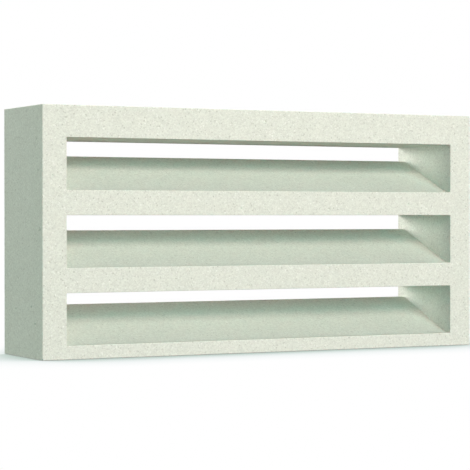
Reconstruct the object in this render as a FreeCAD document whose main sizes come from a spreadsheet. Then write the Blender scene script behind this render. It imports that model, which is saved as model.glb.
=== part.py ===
# Louvred screen block, cast in one piece.
#
# The block stands on its long edge: +X runs along its length, +Y from the open front face
# towards the back, +Z up. The origin is the middle of the bottom face. Lengths are millimetres.
#
# Level slots run through the block from the front face to the back face, between two end
# walls. The floor of each slot has a short level ledge at the front, climbs in a straight
# slope to a rounded crest, and falls a little from there to the back face, so that a wide
# mouth narrows to a low throat that rain cannot pass. The ceiling of each slot is level.
import FreeCAD, Part
import os

import Sketcher

PARTS_FOLDER = "parts"
NODE = "screen_block"

# Two points closer than this are in the same place.
SAME_PLACE = 1e-4

# A sketch names a point by its line's number and which end of the line it is.
START = 1
END = 2
SKETCH_ORIGIN = (-1, START)

# name, size, what it measures
SIZES = (
    ("block_length", 400.0, "overall length of the block"),
    ("block_height", 200.0, "overall height of the block"),
    ("block_depth", 85.0, "front face to back face"),
    ("end_wall", 20.5, "thickness of each end wall beside the slots"),
    ("head_height", 25.5, "solid bar over the top slot"),
    ("bar_height", 20.0, "front face of the bar between two slots"),
    ("sill_height", 11.0, "front face of the bar under the bottom slot"),
    ("slot_count", 3, "number of slots, which share the height that the bars leave"),
    ("throat_height", 12.3, "height of each slot over its crest, before the crest is rounded"),
    ("front_ledge", 6.0, "level part of a slot's floor behind the front face"),
    ("rear_ledge", 10.0, "crest of a slot's floor to the back face"),
    ("rear_fall", 0.7, "drop of the rear ledge from the crest to the back face"),
    ("toe_radius", 12.0, "hollow between the front ledge and the slope"),
    ("crest_radius", 10.0, "rounding between the slope and the rear ledge"),
    ("arris_radius", 0.5, "rounding of every outer edge and of the slots' rims"),
)

# The height of one slot's mouth, and the step from one slot to the next.
SLOT_PITCH = (
    "(Sizes.block_height - Sizes.head_height - Sizes.sill_height + Sizes.bar_height)"
    " / Sizes.slot_count"
)
SLOT_HEIGHT = f"{SLOT_PITCH} - Sizes.bar_height"


def add_sizes(doc):
    """The sheet that holds the driving dimensions."""
    sheet = doc.addObject("Spreadsheet::Sheet", "Sizes")
    for row, (name, size, meaning) in enumerate(SIZES, start=1):
        sheet.set(f"A{row}", meaning)
        sheet.set(f"B{row}", str(size))
        sheet.setAlias(f"B{row}", name)
    doc.recompute()
    return sheet


def origin_feature(body, role):
    """One of the body's own origin planes or axes."""
    return next(f for f in body.Origin.OriginFeatures if f.Role == role)


def add_sketch(body, name, plane):
    """An empty sketch on one of the body's origin planes."""
    sketch = body.newObject("Sketcher::SketchObject", name)
    sketch.AttachmentSupport = [(origin_feature(body, plane), "")]
    sketch.MapMode = "FlatFace"
    return sketch


def add_loop(sketch, corners):
    """A closed loop of straight lines through the corners, joined end to start."""
    vectors = [FreeCAD.Vector(x, y, 0) for x, y in corners]
    following = vectors[1:] + vectors[:1]
    for start, end in zip(vectors, following):
        sketch.addGeometry(Part.LineSegment(start, end), False)
    count = len(vectors)
    for line in range(count):
        joint = Sketcher.Constraint("Coincident", line, END, (line + 1) % count, START)
        sketch.addConstraint(joint)


def align(sketch, direction, lines):
    """Keeps the lines horizontal or vertical."""
    for line in lines:
        sketch.addConstraint(Sketcher.Constraint(direction, line))


def measure(sketch, name, kind, start, end, size, formula):
    """A named distance between two points of the sketch, which follows a formula."""
    index = sketch.addConstraint(Sketcher.Constraint(kind, *start, *end, size))
    sketch.renameConstraint(index, name)
    sketch.setExpression(f"Constraints.{name}", formula)


def add_blank(body, sizes):
    """The solid block before the slots are cut."""
    half_length = sizes.block_length / 2
    half_depth = sizes.block_depth / 2
    sketch = add_sketch(body, "BlankOutline", "XY_Plane")
    corners = (
        (-half_length, -half_depth),
        (half_length, -half_depth),
        (half_length, half_depth),
        (-half_length, half_depth),
    )
    add_loop(sketch, corners)
    front, end, back, far_end = range(len(corners))
    align(sketch, "Horizontal", (front, back))
    align(sketch, "Vertical", (end, far_end))
    low = (front, START)
    middle = SKETCH_ORIGIN
    high = (back, START)
    distances = (
        ("left_half", "DistanceX", low, middle, half_length, "Sizes.block_length / 2"),
        ("right_half", "DistanceX", middle, high, half_length, "Sizes.block_length / 2"),
        ("front_half", "DistanceY", low, middle, half_depth, "Sizes.block_depth / 2"),
        ("back_half", "DistanceY", middle, high, half_depth, "Sizes.block_depth / 2"),
    )
    for distance in distances:
        measure(sketch, *distance)
    pad = body.newObject("PartDesign::Pad", "Blank")
    pad.Profile = sketch
    pad.setExpression("Length", "Sizes.block_height")
    sketch.Visibility = False
    return pad


def add_bottom_slot(body, sizes):
    """The lowest slot, cut along X: its profile is drawn in the YZ plane."""
    pitch = (
        sizes.block_height - sizes.head_height - sizes.sill_height + sizes.bar_height
    ) / sizes.slot_count
    front = -sizes.block_depth / 2
    back = sizes.block_depth / 2
    floor = sizes.sill_height
    ceiling = floor + pitch - sizes.bar_height
    crest = ceiling - sizes.throat_height
    sketch = add_sketch(body, "SlotProfile", "YZ_Plane")
    corners = (
        (front, floor),
        (front + sizes.front_ledge, floor),
        (back - sizes.rear_ledge, crest),
        (back, crest - sizes.rear_fall),
        (back, ceiling),
        (front, ceiling),
    )
    add_loop(sketch, corners)
    front_ledge, slope, rear_ledge, outlet, roof, mouth = range(len(corners))
    align(sketch, "Horizontal", (front_ledge, roof))
    align(sketch, "Vertical", (outlet, mouth))
    middle = SKETCH_ORIGIN
    lip = (front_ledge, START)
    toe = (slope, START)
    top = (rear_ledge, START)
    rim = (outlet, START)
    high = (roof, START)
    distances = (
        ("front_half", "DistanceX", lip, middle, -front, "Sizes.block_depth / 2"),
        ("back_half", "DistanceX", middle, high, back, "Sizes.block_depth / 2"),
        ("sill", "DistanceY", middle, lip, floor, "Sizes.sill_height"),
        ("mouth", "DistanceY", lip, high, ceiling - floor, SLOT_HEIGHT),
        ("front_ledge", "DistanceX", lip, toe, sizes.front_ledge, "Sizes.front_ledge"),
        ("rear_ledge", "DistanceX", top, rim, sizes.rear_ledge, "Sizes.rear_ledge"),
        ("rear_fall", "DistanceY", rim, top, sizes.rear_fall, "Sizes.rear_fall"),
        ("throat", "DistanceY", top, high, sizes.throat_height, "Sizes.throat_height"),
    )
    for distance in distances:
        measure(sketch, *distance)
    pocket = body.newObject("PartDesign::Pocket", "BottomSlot")
    pocket.Profile = sketch
    pocket.Midplane = True
    pocket.setExpression("Length", "Sizes.block_length - 2 * Sizes.end_wall")
    sketch.Visibility = False
    return pocket


def repeat_slot(body, slot):
    """The slots one above another, a bar apart."""
    pattern = body.newObject("PartDesign::LinearPattern", "Slots")
    pattern.Originals = [slot]
    pattern.Direction = (origin_feature(body, "Z_Axis"), [""])
    pattern.Mode = "Spacing"
    pattern.setExpression("Offset", SLOT_PITCH)
    pattern.setExpression("Occurrences", "Sizes.slot_count")
    body.Tip = pattern
    return pattern


def edges_where(shape, wanted):
    """Names of the shape's edges whose points the test accepts."""
    names = []
    for number, edge in enumerate(shape.Edges, start=1):
        if wanted([vertex.Point for vertex in edge.Vertexes]):
            names.append(f"Edge{number}")
    return names


def round_edges(body, name, wanted, size_name):
    """A fillet on the chosen edges of the body's last feature."""
    base = body.Tip
    edges = edges_where(base.Shape, wanted)
    if not edges:
        raise ValueError(f"{name} found no edge to round")
    fillet = body.newObject("PartDesign::Fillet", name)
    fillet.Base = (base, edges)
    fillet.setExpression("Radius", f"Sizes.{size_name}")
    body.Tip = fillet
    body.Document.recompute()
    return fillet


def runs_along_slot(points, depth):
    """True for an edge inside the block that runs along X at this depth."""
    return all(abs(point.y - depth) < SAME_PLACE for point in points) and (
        abs(points[0].x - points[-1].x) > SAME_PLACE
    )


def lies_on_skin(points, sizes):
    """True for an edge that lies in one of the block's six outer planes."""
    half_length = sizes.block_length / 2
    half_depth = sizes.block_depth / 2
    planes = (
        ("x", -half_length),
        ("x", half_length),
        ("y", -half_depth),
        ("y", half_depth),
        ("z", 0),
        ("z", sizes.block_height),
    )
    return any(
        all(abs(getattr(point, axis) - place) < SAME_PLACE for point in points)
        for axis, place in planes
    )


def make_block(doc, sizes):
    """The whole block as one PartDesign body."""
    body = doc.addObject("PartDesign::Body", "ScreenBlock")
    body.Label = NODE
    blank = add_blank(body, sizes)
    doc.recompute()
    slot = add_bottom_slot(body, sizes)
    doc.recompute()
    if slot.Shape.Volume >= blank.Shape.Volume:
        raise ValueError("the slot cuts nothing")
    repeat_slot(body, slot)
    doc.recompute()
    toe = sizes.front_ledge - sizes.block_depth / 2
    crest = sizes.block_depth / 2 - sizes.rear_ledge
    round_edges(body, "ToeFillets", lambda p: runs_along_slot(p, toe), "toe_radius")
    round_edges(body, "CrestFillets", lambda p: runs_along_slot(p, crest), "crest_radius")
    round_edges(body, "Arrises", lambda p: lies_on_skin(p, sizes), "arris_radius")
    return body


def check(doc, pieces):
    """Stops before anything is written if a feature failed or a shape is unsound."""
    for item in doc.Objects:
        if "Invalid" in item.State or "Error" in item.State:
            raise ValueError(f"{item.Name} failed: {item.State}")
    for piece in pieces:
        if piece.Shape.isNull() or not piece.Shape.isValid():
            raise ValueError(f"{piece.Label} has no valid shape")


def write(pieces):
    """One STEP file for each piece, named after its node."""
    os.makedirs(PARTS_FOLDER, exist_ok=True)
    for piece in pieces:
        piece.Shape.exportStep(os.path.join(PARTS_FOLDER, f"{piece.Label}.step"))
        box = piece.Shape.BoundBox
        print(piece.Label, "solids", len(piece.Shape.Solids), "faces", len(piece.Shape.Faces))
        print("size", round(box.XLength, 3), round(box.YLength, 3), round(box.ZLength, 3))
        print("volume in litres", round(piece.Shape.Volume / 1e6, 4))


def main():
    doc = FreeCAD.newDocument("ScreenBlock")
    sizes = add_sizes(doc)
    pieces = [make_block(doc, sizes)]
    check(doc, pieces)
    write(pieces)


main()
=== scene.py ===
"""Dresses a louvred screen block of pale cast concrete and puts it in a white studio.

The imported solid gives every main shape. The dressed block is a finely divided copy of it with
the small things that casting leaves: slightly rubbed arrises, faces that aren't quite flat and
open air holes. Its material has the sand, the fines and the faint clouds of the mix.
"""

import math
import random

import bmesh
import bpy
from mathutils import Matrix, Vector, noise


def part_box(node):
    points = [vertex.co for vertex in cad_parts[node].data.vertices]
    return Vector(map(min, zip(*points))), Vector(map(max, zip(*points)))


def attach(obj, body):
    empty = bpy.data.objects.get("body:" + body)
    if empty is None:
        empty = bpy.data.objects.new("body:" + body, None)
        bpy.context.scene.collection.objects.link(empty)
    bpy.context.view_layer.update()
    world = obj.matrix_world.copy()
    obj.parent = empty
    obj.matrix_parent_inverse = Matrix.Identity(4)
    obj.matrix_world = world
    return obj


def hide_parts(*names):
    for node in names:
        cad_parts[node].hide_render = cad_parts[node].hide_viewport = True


bl_info = {
    "name": "Louvred Screen Block",
    "version": (1, 0, 0),
    "blender": (4, 5, 0),
    "location": "3D View > Sidebar > Screen Block",
    "description": "Gives a cast screen block its worn arrises, air holes and concrete, and stages it",
    "category": "Add Mesh",
}

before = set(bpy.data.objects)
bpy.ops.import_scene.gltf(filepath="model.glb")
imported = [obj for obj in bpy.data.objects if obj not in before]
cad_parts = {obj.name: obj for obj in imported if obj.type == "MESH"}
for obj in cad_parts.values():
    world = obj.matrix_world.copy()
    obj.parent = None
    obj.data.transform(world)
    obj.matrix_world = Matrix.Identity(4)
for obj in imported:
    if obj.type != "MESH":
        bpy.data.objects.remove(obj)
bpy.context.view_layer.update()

NODE = "screen_block"
BODY = "root"
MM = 0.001

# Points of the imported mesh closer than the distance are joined, and so are faces that meet at
# less than the angle.
MERGE_DISTANCE = 0.001 * MM
MERGE_ANGLE = math.radians(0.1)

# A cut that passes a point closer than this goes through the point.
CUT_TOLERANCE = 0.05 * MM

# The height of a unit normal up to which a face counts as steep.
STEEP_NORMAL = 0.3

# Two faces whose unit normals have a dot product above this lie in one plane.
SAME_PLANE = 0.99999

# An outer edge that turns by more than the first angle is worn. Any edge that turns by more than
# the second is shaded as sharp.
ARRIS_ANGLE = math.radians(12)
SHARP_ANGLE = math.radians(35)

# The widths in millimetres of the waves in a face, of short and long stretches of wear, how much
# either of the last two adds or takes, and a shift that keeps them apart.
WAVE_WIDTH = 34
SHORT_WEAR = 7
LONG_WEAR = 23
WEAR_SWING = 0.35
WEAR_SHIFT = Vector((5, 9, 2))

# An air hole needs a four-sided face with at least this share of a whole grid cell's area, in a
# square of nine faces. Its middle may lie off the face's middle by this share of a cell's side.
CELL_SHARE = 0.6
CELL_SQUARE = 9
HOLE_SHIFT = 0.25

# Air holes come in a few sizes and have eight sides. Each step of a hole goes inwards and down by
# these shares of its radius.
HOLE_SIZES = 6
HOLE_SIDES = 8
HOLE_STEPS = ((0.22, 0.65), (0.34, 0.25))

# Where the colour sockets of a Mix node are, which come after those for numbers and vectors.
MIX_FACTOR, MIX_FIRST, MIX_SECOND, MIX_RESULT = 0, 6, 7, 2

# The far lights: name, azimuth in degrees (0 in front of the block, 90 at its right end), elevation,
# angle across, and red, green and blue strength in watts per square metre.
FAR_LIGHTS = (
    ("key_low", 9, 14, 26, (0.13, 1.28, 1.27)),
    ("front", 10, 0, 40, (1.30, 0.33, 0.30)),
    ("front_left", -30, 0, 40, (0.11, 0.40, 0.40)),
    ("right", 90, 5, 50, (1.94, 1.91, 1.82)),
    ("rear_left", 230, 8, 26, (1.98, 2.02, 1.84)),
    ("front_top", 0, 80, 60, (0.08, 0.10, 0.10)),
    ("top", 0, 90, 8, (2.05, 2.00, 1.88)),
)

# The near lights, oval, which face the middle of the block: name, place, width and height in
# metres, and red, green and blue power in watts.
NEAR_LIGHTS = (
    ("key_upper", (0.05, -1.12, 0.73), (1.00, 0.12), (3.60, 3.80, 3.45)),
    ("key_lower", (0.12, -2.40, 1.12), (1.00, 0.40), (28.5, 15.0, 14.8)),
    ("near_rear", (-0.15, 0.50, 0.25), (0.30, 0.30), (2.78, 2.24, 2.40)),
)

SENSOR_WIDTH = 36.0

# The floor reaches this far from the middle each way, and lies just under the block's foot.
FLOOR_REACH = 8.0
FLOOR_DROP = 0.2 * MM

# The most that the contact shadow takes from the floor's white.
DEEPEST_SHADOW = 0.62


class CastSettings(bpy.types.PropertyGroup):
    """The sizes of the block's fine relief."""

    grid_step: bpy.props.FloatProperty(
        name="Grid step",
        description="Size of the small faces that carry the relief",
        default=3.6 * MM,
        unit="LENGTH",
    )
    arris_wear: bpy.props.FloatProperty(
        name="Arris wear",
        description="Most that an outer edge is rubbed back",
        default=0.22 * MM,
        unit="LENGTH",
    )
    face_wave: bpy.props.FloatProperty(
        name="Face wave",
        description="Most that a face falls short of flat",
        default=0.05 * MM,
        unit="LENGTH",
    )
    hole_count: bpy.props.IntProperty(
        name="Air holes",
        description="Number of open air holes over the whole surface",
        default=620,
        min=0,
    )
    hole_radius: bpy.props.FloatVectorProperty(
        name="Hole radius",
        description="Radius of the smallest and of the largest air hole",
        default=(0.35 * MM, 0.95 * MM),
        size=2,
        unit="LENGTH",
    )
    seed: bpy.props.IntProperty(
        name="Seed",
        description="Start of the random choice of air holes",
        default=11,
    )


class FinishSettings(bpy.types.PropertyGroup):
    """The colours, grains and relief of the concrete."""

    paste_colour: bpy.props.FloatVectorProperty(
        name="Paste",
        description="Colour of the hardened pale cement",
        default=(0.704, 0.757, 0.680),
        subtype="COLOR",
    )
    cloud_colour: bpy.props.FloatVectorProperty(
        name="Cloud",
        description="Colour where the paste dried a little darker",
        default=(0.679, 0.734, 0.655),
        subtype="COLOR",
    )
    dark_colour: bpy.props.FloatVectorProperty(
        name="Dark sand",
        description="Colour of the few dark grains",
        default=(0.369, 0.404, 0.342),
        subtype="COLOR",
    )
    pale_colour: bpy.props.FloatVectorProperty(
        name="Pale sand",
        description="Colour of the pale grains",
        default=(0.795, 0.839, 0.781),
        subtype="COLOR",
    )
    dark_share: bpy.props.FloatProperty(
        name="Dark share",
        description="Share of the grains that are dark",
        default=0.035,
        subtype="FACTOR",
        min=0,
        max=1,
    )
    pale_share: bpy.props.FloatProperty(
        name="Pale share",
        description="Share of the grains that are pale",
        default=0.06,
        subtype="FACTOR",
        min=0,
        max=1,
    )
    dark_cover: bpy.props.FloatProperty(
        name="Dark cover",
        description="How much of a dark grain's colour shows through the skin of paste",
        default=0.42,
        subtype="FACTOR",
        min=0,
        max=1,
    )
    pale_cover: bpy.props.FloatProperty(
        name="Pale cover",
        description="How much of a pale grain's colour shows through the skin of paste",
        default=0.7,
        subtype="FACTOR",
        min=0,
        max=1,
    )
    sand_size: bpy.props.FloatProperty(
        name="Sand size",
        description="Spacing of the sand grains that show",
        default=1.1 * MM,
        unit="LENGTH",
    )
    fine_size: bpy.props.FloatProperty(
        name="Fine size",
        description="Spacing of the finer grains, as a share of the sand size",
        default=0.55,
        subtype="FACTOR",
        min=0,
        max=1,
    )
    grain_reach: bpy.props.FloatProperty(
        name="Grain reach",
        description="How far a dark or pale grain reaches from its middle, as a share of the sand size",
        default=0.6,
    )
    ripple_size: bpy.props.FloatProperty(
        name="Ripple size",
        description="Width of the bends in a grain's outline",
        default=0.8 * MM,
        unit="LENGTH",
    )
    ripple_reach: bpy.props.FloatProperty(
        name="Ripple reach",
        description="Most that a bend moves a grain's outline",
        default=1.6 * MM,
        unit="LENGTH",
    )
    wide_cloud: bpy.props.FloatProperty(
        name="Wide cloud",
        description="Width of the clouds of darker paste",
        default=42 * MM,
        unit="LENGTH",
    )
    small_cloud: bpy.props.FloatProperty(
        name="Small cloud",
        description="Width of the small clouds",
        default=9 * MM,
        unit="LENGTH",
    )
    shade_range: bpy.props.FloatVectorProperty(
        name="Shade range",
        description="How much the shade differs between sand grains, fine grains and small clouds",
        default=(0.15, 0.11, 0.05),
    )
    relief_share: bpy.props.FloatVectorProperty(
        name="Relief share",
        description="Height of the small clouds, the sand and the fines as shares of the relief",
        default=(0.6, 0.5, 0.35),
    )
    relief_depth: bpy.props.FloatProperty(
        name="Relief depth",
        description="Height of the relief of the grains",
        default=0.22 * MM,
        unit="LENGTH",
    )
    relief_strength: bpy.props.FloatProperty(
        name="Relief strength",
        description="How strongly the relief of the grains turns the light",
        default=0.75,
        subtype="FACTOR",
        min=0,
        max=1,
    )
    roughness: bpy.props.FloatProperty(
        name="Roughness",
        description="Mean roughness of the cast face",
        default=0.88,
        subtype="FACTOR",
        min=0,
        max=1,
    )
    roughness_range: bpy.props.FloatProperty(
        name="Roughness range",
        description="How much the roughness differs between sand grains",
        default=0.12,
    )
    specular: bpy.props.FloatProperty(
        name="Specular",
        description="Strength of the faint sheen, where a half is usual",
        default=0.25,
        subtype="FACTOR",
        min=0,
        max=1,
    )


class StageSettings(bpy.types.PropertyGroup):
    """The studio's camera and the floor's contact shadow."""

    camera_place: bpy.props.FloatVectorProperty(
        name="Camera place",
        description="Where the camera stands",
        default=(-0.73845, -1.41366, 0.11320),
        unit="LENGTH",
        subtype="TRANSLATION",
    )
    camera_turn: bpy.props.FloatProperty(
        name="Camera turn",
        description="How far the view is turned right from straight on to the front face",
        default=math.radians(27.280),
        subtype="ANGLE",
    )
    camera_tilt: bpy.props.FloatProperty(
        name="Camera tilt",
        description="How far the view looks down",
        default=math.radians(0.597),
        subtype="ANGLE",
    )
    lens: bpy.props.FloatProperty(
        name="Lens",
        description="Focal length on a 36 mm sensor, in millimetres",
        default=144.24,
    )
    shadow_reach: bpy.props.FloatProperty(
        name="Shadow reach",
        description="How far from the block the floor's contact shadow fades out",
        default=100 * MM,
        unit="LENGTH",
    )
    shadow_depth: bpy.props.FloatVectorProperty(
        name="Shadow depth",
        description="How much the contact shadow takes from red, green and blue",
        default=(1.48, 1.31, 1.58),
    )
    shadow_fall: bpy.props.FloatVectorProperty(
        name="Shadow fall",
        description="How fast the contact shadow fades in red, green and blue",
        default=(1.49, 1.65, 1.71),
    )


class Wire:
    """A shader socket that can be used in sums: each operator adds a Math node."""

    def __init__(self, bench, socket):
        self.bench = bench
        self.socket = socket

    def math(self, operation, *values):
        return self.bench.add("ShaderNodeMath", {"operation": operation}, dict(enumerate(values)), 0)

    def __add__(self, other):
        return self.math("ADD", self, other)

    def __radd__(self, other):
        return self.math("ADD", other, self)

    def __sub__(self, other):
        return self.math("SUBTRACT", self, other)

    def __rsub__(self, other):
        return self.math("SUBTRACT", other, self)

    def __mul__(self, other):
        return self.math("MULTIPLY", self, other)

    def __rmul__(self, other):
        return self.math("MULTIPLY", other, self)

    def __truediv__(self, other):
        return self.math("DIVIDE", self, other)

    def __rtruediv__(self, other):
        return self.math("DIVIDE", other, self)

    def __pow__(self, other):
        return self.math("POWER", self, other)

    def at_most(self, limit):
        return self.math("MINIMUM", self, limit)

    def __gt__(self, other):
        return self.math("GREATER_THAN", self, other)

    def __lt__(self, other):
        return self.math("LESS_THAN", self, other)


class Bench:
    """Adds the nodes of one material or world and joins them."""

    def __init__(self, tree):
        self.tree = tree
        tree.nodes.clear()

    def add(self, kind, settings=None, values=None, output=None):
        """A node of this kind with its settings, then the values or wires of its sockets."""
        node = self.tree.nodes.new(kind)
        for name, value in (settings or {}).items():
            setattr(node, name, value)
        for name, value in (values or {}).items():
            if isinstance(value, Wire):
                self.tree.links.new(value.socket, node.inputs[name])
            else:
                node.inputs[name].default_value = value
        return node if output is None else Wire(self, node.outputs[output])

    def mix(self, factor, first, second):
        """Two colours mixed by a factor."""
        values = {MIX_FACTOR: factor, MIX_FIRST: opaque(first), MIX_SECOND: opaque(second)}
        return self.add("ShaderNodeMix", {"data_type": "RGBA"}, values, MIX_RESULT)

    def scale(self, colour, factor):
        """A colour made brighter or darker by a factor."""
        return self.add("ShaderNodeVectorMath", {"operation": "SCALE"}, {0: colour, "Scale": factor}, 0)

    def grains(self, place, size, output="Color"):
        """Grains of this size, in metres: a random colour for each, or the distance from its middle."""
        return self.add("ShaderNodeTexVoronoi", {}, {"Vector": place, "Scale": 1 / size}, output)

    def clouds(self, place, size, detail=2.0, output="Fac"):
        """A soft pattern of about this size, in metres, from 0 to 1: one value, or three as a colour."""
        values = {"Vector": place, "Scale": 1 / size, "Detail": detail, "Roughness": 0.5}
        return self.add("ShaderNodeTexNoise", {}, values, output)

    def shift(self, place, pattern, reach):
        """A place moved along a pattern of three values by up to a reach, in metres."""
        values = {0: pattern, 1: (reach, reach, reach), 2: place}
        return self.add("ShaderNodeVectorMath", {"operation": "MULTIPLY_ADD"}, values, 0)

    def channel(self, colour, output):
        """One channel of a colour."""
        return self.add("ShaderNodeSeparateColor", {}, {0: colour}, output)

    def finish(self, kind, shader):
        """Joins a shader to the material's or world's output."""
        self.add(kind, {}, {"Surface": Wire(self, shader.outputs[0])})


def opaque(colour):
    """A colour with its alpha, or a wire as it is."""
    return colour if isinstance(colour, Wire) else (*colour, 1)


def concrete_material(settings):
    """Pale cast concrete: cement paste with fine sand, a few dark and pale grains, and faint clouds."""
    material = bpy.data.materials.new("pale_cast_concrete")
    material.use_nodes = True
    bench = Bench(material.node_tree)
    place = bench.add("ShaderNodeTexCoord", {}, {}, "Object")
    wide_cloud = bench.clouds(place, settings.wide_cloud, detail=3.0)
    small_cloud = bench.clouds(place, settings.small_cloud)

    # grains looked up a little off their place have worn outlines in place of straight ones
    ripple = bench.clouds(place, settings.ripple_size, output="Color")
    grain_place = bench.shift(place, ripple, settings.ripple_reach)
    sand_size = settings.sand_size
    fine_size = sand_size * settings.fine_size
    sand = bench.grains(grain_place, sand_size)
    fines = bench.grains(grain_place, fine_size)
    sand_bulge = bench.grains(grain_place, sand_size, "Distance")
    fine_bulge = bench.grains(grain_place, fine_size, "Distance")
    sand_shade = bench.channel(sand, "Red")
    fine_shade = bench.channel(fines, "Red")
    sand_pick = bench.channel(sand, "Green")

    round_grain = sand_bulge < settings.grain_reach
    dark_grain = (sand_pick > 1 - settings.dark_share) * round_grain
    pale_grain = (sand_pick < settings.pale_share) * round_grain
    colour = bench.mix(wide_cloud, settings.paste_colour, settings.cloud_colour)
    colour = bench.mix(dark_grain * settings.dark_cover, colour, settings.dark_colour)
    colour = bench.mix(pale_grain * settings.pale_cover, colour, settings.pale_colour)
    sand_range, fine_range, cloud_range = settings.shade_range
    shade = 1.0 + (sand_shade - 0.5) * sand_range + (fine_shade - 0.5) * fine_range
    shade = shade + (small_cloud - 0.5) * cloud_range

    cloud_share, sand_share, fine_share = settings.relief_share
    relief = {
        "Strength": settings.relief_strength,
        "Distance": settings.relief_depth,
        "Height": small_cloud * cloud_share - sand_bulge * sand_share - fine_bulge * fine_share,
    }
    values = {
        "Base Color": bench.scale(colour, shade),
        "Roughness": settings.roughness + (sand_shade - 0.5) * settings.roughness_range,
        "Normal": bench.add("ShaderNodeBump", {}, relief, "Normal"),
        "Specular IOR Level": settings.specular,
    }
    shader = bench.add("ShaderNodeBsdfPrincipled", {}, values)
    bench.finish("ShaderNodeOutputMaterial", shader)
    return material


def merged_copy(name):
    """A copy of a CAD node's mesh with its loose triangles joined and its flat faces whole again."""
    block = bmesh.new()
    block.from_mesh(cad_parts[name].data)
    bmesh.ops.remove_doubles(block, verts=block.verts, dist=MERGE_DISTANCE)
    bmesh.ops.dissolve_limit(block, angle_limit=MERGE_ANGLE, verts=block.verts, edges=block.edges)
    return block


def cut_grid(block, step):
    """Cuts the faces along planes a step apart, so that they can carry relief."""
    low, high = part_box(NODE)
    for axis in range(3):
        normal = Vector((0, 0, 0))
        normal[axis] = 1
        count = round((high[axis] - low[axis]) / step)
        for cut in range(1, count):
            point = Vector((0, 0, 0))
            point[axis] = low[axis] + (high[axis] - low[axis]) * cut / count
            # the cuts across the height are for steep faces: the first two axes divide the others
            faces = [face for face in block.faces if axis < 2 or abs(face.normal.z) < STEEP_NORMAL]
            # these keep their order from run to run, as sets wouldn't
            edges = dict.fromkeys(edge for face in faces for edge in face.edges)
            verts = dict.fromkeys(vert for face in faces for vert in face.verts)
            geometry = [*verts, *edges, *faces]
            bmesh.ops.bisect_plane(
                block, geom=geometry, dist=CUT_TOLERANCE, plane_co=point, plane_no=normal,
            )


def pick_cells(block, settings, chance):
    """Small square faces picked at random, flat all round and none next to another."""
    least_area = CELL_SHARE * settings.grid_step**2
    cells = [face for face in block.faces if len(face.verts) == 4 and face.calc_area() > least_area]
    chance.shuffle(cells)
    taken = set()
    picked = []
    for face in cells:
        if len(picked) == settings.hole_count:
            break
        near = {other for vert in face.verts for other in vert.link_faces}
        even = all(other.normal.dot(face.normal) > SAME_PLANE for other in near)
        if len(near) == CELL_SQUARE and even and taken.isdisjoint(near):
            picked.append(face)
            taken.update(near)
    return picked


def open_air_holes(block, settings):
    """Sinks small round holes, left by air bubbles against the mould."""
    chance = random.Random(settings.seed)
    picked = pick_cells(block, settings, chance)
    sides = dict.fromkeys(edge for face in picked for edge in face.edges)
    bmesh.ops.subdivide_edges(block, edges=list(sides), cuts=1)
    hubs = bmesh.ops.poke(block, faces=picked)["verts"]
    reach = HOLE_SHIFT * settings.grid_step
    groups = [[] for size in range(HOLE_SIZES)]
    for hub in hubs:
        across = (hub.link_edges[0].other_vert(hub).co - hub.co).normalized()
        along = hub.normal.cross(across)
        hub.co += across * chance.uniform(-reach, reach) + along * chance.uniform(-reach, reach)
        # most holes are small
        groups[int(HOLE_SIZES * chance.random() ** 2)].append(hub)
    smallest, largest = settings.hole_radius
    for size, group in enumerate(groups):
        radius = smallest + (largest - smallest) * size / (HOLE_SIZES - 1)
        rims = bmesh.ops.bevel(
            block, geom=group, offset=radius, offset_type="OFFSET", affect="VERTICES",
            segments=1, profile=0.5, material=-1,
        )["faces"]
        mouths = [face for face in rims if len(face.verts) == HOLE_SIDES]
        for inwards, down in HOLE_STEPS:
            bmesh.ops.inset_individual(
                block, faces=mouths, thickness=inwards * radius, depth=-down * radius,
            )


def wear(block, settings):
    """Rubs the arrises back a little and takes the last flatness out of the faces."""
    arris = set()
    for edge in block.edges:
        if edge.is_manifold and edge.is_convex and edge.calc_face_angle(0) > ARRIS_ANGLE:
            arris.update(edge.verts)
    moves = []
    for vert in block.verts:
        place = vert.co / MM
        # noise runs from -1 to 1
        depth = settings.face_wave * (noise.noise(place / WAVE_WIDTH) * 0.5 + 0.5)
        if vert in arris:
            short = WEAR_SWING * noise.noise(place / SHORT_WEAR)
            long = WEAR_SWING * noise.noise(place / LONG_WEAR + WEAR_SHIFT)
            depth += settings.arris_wear * min(max(0.5 + short + long, 0), 1)
        moves.append(-vert.normal * depth)
    for vert, move in zip(block.verts, moves):
        vert.co += move


class SCREENBLOCK_OT_block(bpy.types.Operator):
    """Makes the cast block with its fine relief and concrete finish, in place of the plain solid"""

    bl_idname = "screenblock.block"
    bl_label = "Cast block"

    def execute(self, context):
        settings = context.scene.screenblock_cast
        block = merged_copy(NODE)
        cut_grid(block, settings.grid_step)
        open_air_holes(block, settings)
        block.normal_update()
        wear(block, settings)
        for face in block.faces:
            face.smooth = True
        mesh = bpy.data.meshes.new("cast_block")
        block.to_mesh(mesh)
        block.free()
        mesh.set_sharp_from_angle(angle=SHARP_ANGLE)
        mesh.materials.append(concrete_material(context.scene.screenblock_finish))
        piece = bpy.data.objects.new("cast_block", mesh)
        context.scene.collection.objects.link(piece)
        shading = piece.modifiers.new("even_shading", "WEIGHTED_NORMAL")
        shading.keep_sharp = True
        shading.weight = 50
        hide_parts(NODE)
        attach(piece, BODY)
        return {"FINISHED"}


def add_camera(settings):
    """The camera at the photograph's viewing angle."""
    data = bpy.data.cameras.new("camera")
    data.lens = settings.lens
    data.sensor_width = SENSOR_WIDTH
    data.clip_start = 0.01
    data.clip_end = 100.0
    camera = bpy.data.objects.new("camera", data)
    camera.location = settings.camera_place
    camera.rotation_euler = (math.pi / 2 - settings.camera_tilt, 0, -settings.camera_turn)
    bpy.context.scene.collection.objects.link(camera)
    bpy.context.scene.camera = camera


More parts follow.
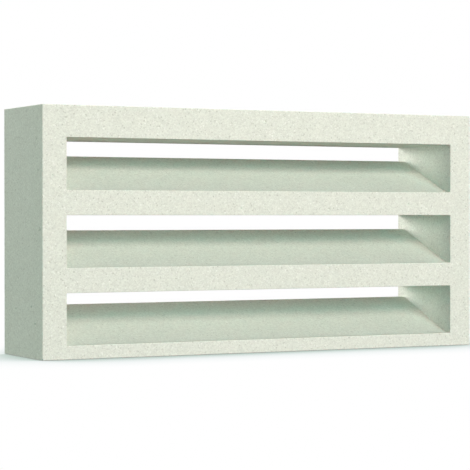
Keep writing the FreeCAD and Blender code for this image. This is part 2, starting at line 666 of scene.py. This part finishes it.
def add_lamp(name, data, strength, to_light):
    """Puts a light in the scene, shining back along the way to it."""
    # the strength of each colour is in the light's colour
    data.energy = 1.0
    data.color = strength
    lamp = bpy.data.objects.new(name, data)
    lamp.rotation_euler = to_light.to_track_quat("Z", "Y").to_euler()
    lamp.visible_camera = False
    bpy.context.scene.collection.objects.link(lamp)
    return lamp


def add_lights():
    """Wide soft lights far off all round, two near ones in front and above, and one near behind."""
    for name, azimuth, elevation, across, strength in FAR_LIGHTS:
        data = bpy.data.lights.new(name, "SUN")
        data.angle = math.radians(across)
        turn, rise = math.radians(azimuth), math.radians(elevation)
        level = math.cos(rise)
        to_light = Vector((math.sin(turn) * level, -math.cos(turn) * level, math.sin(rise)))
        add_lamp(name, data, strength, to_light)
    low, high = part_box(NODE)
    middle = (Vector(low) + Vector(high)) / 2
    for name, place, size, power in NEAR_LIGHTS:
        data = bpy.data.lights.new(name, "AREA")
        data.shape = "ELLIPSE"
        data.size, data.size_y = size
        lamp = add_lamp(name, data, power, Vector(place) - middle)
        lamp.location = place


def add_world():
    """White all round to the eye, though the lamps alone light the block."""
    world = bpy.data.worlds.new("studio")
    world.use_nodes = True
    bpy.context.scene.world = world
    bench = Bench(world.node_tree)
    white = bench.add("ShaderNodeBackground", {}, {"Color": (1, 1, 1, 1)})
    bench.finish("ShaderNodeOutputWorld", white)
    world.cycles_visibility.diffuse = False
    world.cycles_visibility.glossy = False


def add_floor(settings):
    """A white floor that glows evenly and has a painted contact shadow only close to what stands on it.
    """
    sheet = bmesh.new()
    bmesh.ops.create_grid(sheet, x_segments=1, y_segments=1, size=FLOOR_REACH)
    bmesh.ops.translate(sheet, verts=sheet.verts, vec=(0, 0, -FLOOR_DROP))
    mesh = bpy.data.meshes.new("studio_floor")
    sheet.to_mesh(mesh)
    sheet.free()
    floor = bpy.data.objects.new("studio_floor", mesh)
    bpy.context.scene.collection.objects.link(floor)
    material = bpy.data.materials.new("white_floor")
    material.use_nodes = True
    bench = Bench(material.node_tree)
    values = {"Distance": settings.shadow_reach}
    # painted contact shadow: the glow is darkened where the block hides the open sky, not shaded by the
    # lamps
    open_sky = bench.add("ShaderNodeAmbientOcclusion", {"samples": 16}, values, "AO")
    light = {}
    for name, fall, depth in zip(("Red", "Green", "Blue"), settings.shadow_fall, settings.shadow_depth):
        light[name] = 1.0 - ((1.0 - open_sky) ** fall * depth).at_most(DEEPEST_SHADOW)
    colour = bench.add("ShaderNodeCombineColor", {}, light, 0)
    glow = bench.add("ShaderNodeEmission", {}, {"Color": colour})
    bench.finish("ShaderNodeOutputMaterial", glow)
    mesh.materials.append(material)
    floor.visible_diffuse = False
    floor.visible_glossy = False
    floor.visible_shadow = False


class SCREENBLOCK_OT_stage(bpy.types.Operator):
    """Sets up the white studio: camera, lights, floor and surroundings"""

    bl_idname = "screenblock.stage"
    bl_label = "Stage"

    def execute(self, context):
        settings = context.scene.screenblock_stage
        context.scene.view_settings.view_transform = "Standard"
        add_camera(settings)
        add_lights()
        add_world()
        add_floor(settings)
        return {"FINISHED"}


class SCREENBLOCK_PT_panel(bpy.types.Panel):
    """Lists the block, its finish and its stage"""

    bl_idname = "SCREENBLOCK_PT_panel"
    bl_label = "Screen Block"
    bl_space_type = "VIEW_3D"
    bl_region_type = "UI"
    bl_category = "Screen Block"

    def draw(self, context):
        for group, operator in (
            ("screenblock_cast", None),
            ("screenblock_finish", "screenblock.block"),
            ("screenblock_stage", "screenblock.stage"),
        ):
            settings = getattr(context.scene, group)
            column = self.layout.column()
            for name in settings.bl_rna.properties.keys():
                if name not in ("rna_type", "name"):
                    column.prop(settings, name)
            if operator:
                column.operator(operator)


CLASSES = (
    CastSettings,
    FinishSettings,
    StageSettings,
    SCREENBLOCK_OT_block,
    SCREENBLOCK_OT_stage,
    SCREENBLOCK_PT_panel,
)


def register():
    for cls in CLASSES:
        bpy.utils.register_class(cls)
    bpy.types.Scene.screenblock_cast = bpy.props.PointerProperty(type=CastSettings)
    bpy.types.Scene.screenblock_finish = bpy.props.PointerProperty(type=FinishSettings)
    bpy.types.Scene.screenblock_stage = bpy.props.PointerProperty(type=StageSettings)


def unregister():
    del bpy.types.Scene.screenblock_stage
    del bpy.types.Scene.screenblock_finish
    del bpy.types.Scene.screenblock_cast
    for cls in reversed(CLASSES):
        bpy.utils.unregister_class(cls)


def main():
    register()
    bpy.ops.screenblock.block()
    bpy.ops.screenblock.stage()


if __name__ == "__main__":
    main()
